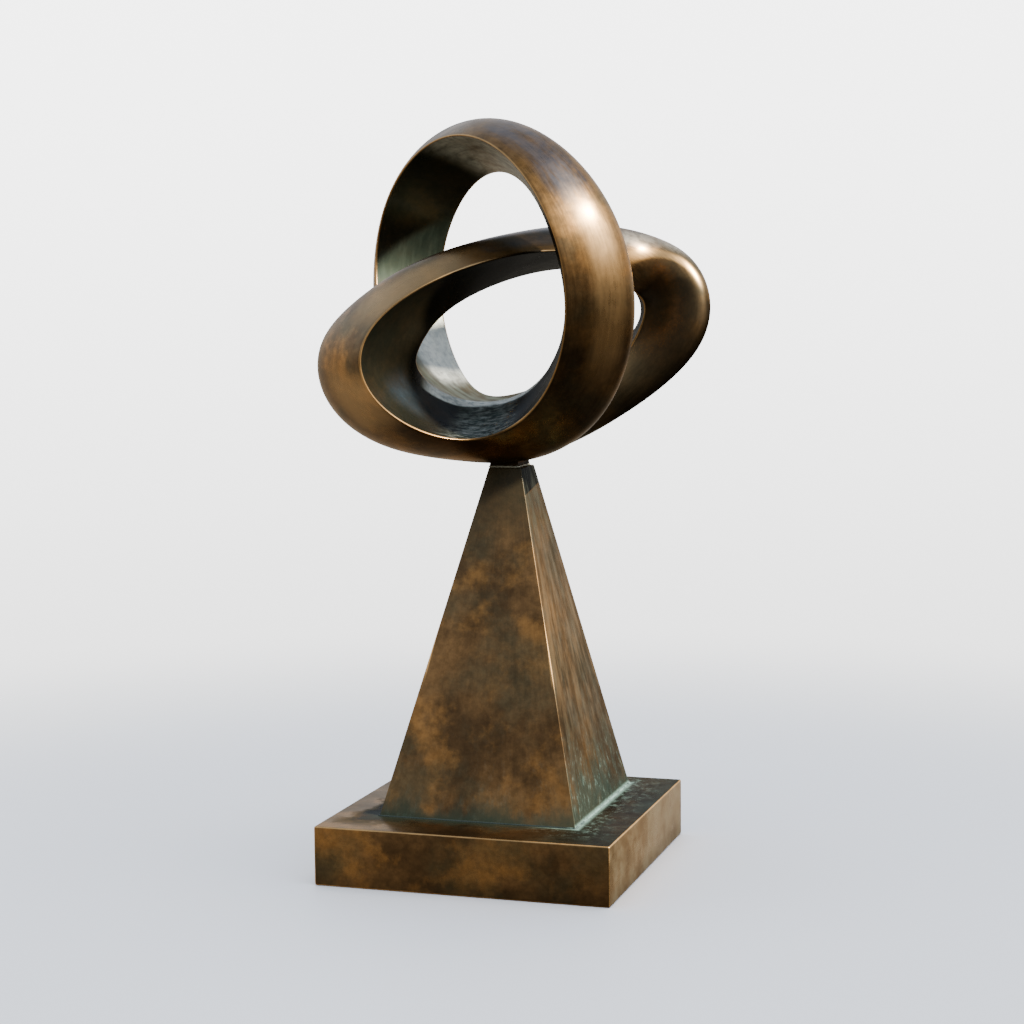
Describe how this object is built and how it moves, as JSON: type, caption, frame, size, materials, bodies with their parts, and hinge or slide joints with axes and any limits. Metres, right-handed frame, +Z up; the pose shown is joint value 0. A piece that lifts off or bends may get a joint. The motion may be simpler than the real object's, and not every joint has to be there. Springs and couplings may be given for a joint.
{
  "type": "abstract metal sculpture",
  "caption": "Abstract bronze sculpture: an endless band in a tall and a low leaning loop, on a slim tapered pedestal and a square slab, for a garden, terrace or hall.",
  "frame": {"origin": "on the ground, under the middle of the whole outline", "axes": "+Z up; -Y is the slab's front face and +X its right face, parallel to the slab's sides"},
  "size_m": [1.004, 0.9636, 2.1003],
  "materials": {
    "band_bronze": "brown patinated cast bronze, polished at the edges",
    "pedestal_bronze": "brown patinated bronze sheet with green verdigris at the foot",
    "slab_bronze": "brown grey patinated bronze with green stains"
  },
  "bodies": {
    "root": {"base_slab": "slab_bronze", "tapered_pedestal": "pedestal_bronze", "loop_band": "band_bronze"}
  },
  "joints": []
}
